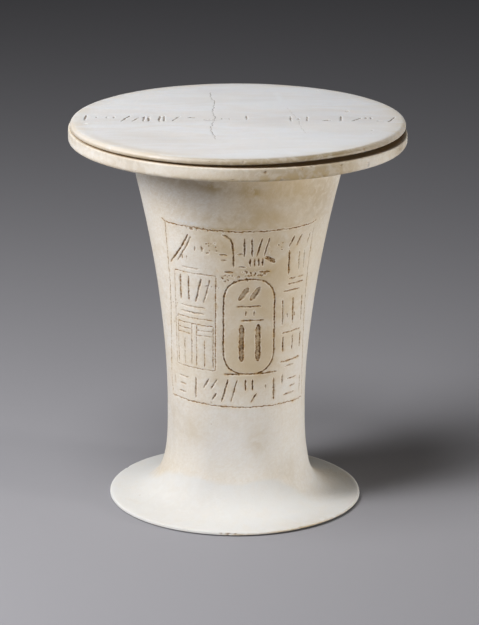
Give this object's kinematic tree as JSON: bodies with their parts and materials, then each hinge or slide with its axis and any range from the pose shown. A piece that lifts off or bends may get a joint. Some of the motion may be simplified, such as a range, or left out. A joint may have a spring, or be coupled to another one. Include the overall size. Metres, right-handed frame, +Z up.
{
  "type": "ointment jar",
  "caption": "Lidded stone ointment jar: thin splayed foot, concave body flaring to a wide flat rim, flat disc lid, and a framed panel of incised strokes with an oval ring and a panelled facade.",
  "frame": {"origin": "middle of the underside of the foot, on the surface that the jar stands on", "axes": "+Z up along the jar's own axis, -Y out of the middle of the carved panel, +X to the panel's right"},
  "size_m": [0.1248, 0.1248, 0.1462],
  "materials": {
    "jar_travertine": "hand-rubbed travertine, cream to beige, with brown stain in the cut lines and under the rim",
    "lid_travertine": "hand-rubbed travertine, cool white with faint straight banding and hairline cracks"
  },
  "bodies": {
    "root": {"jar": "jar_travertine", "lid": "lid_travertine"}
  },
  "joints": []
}
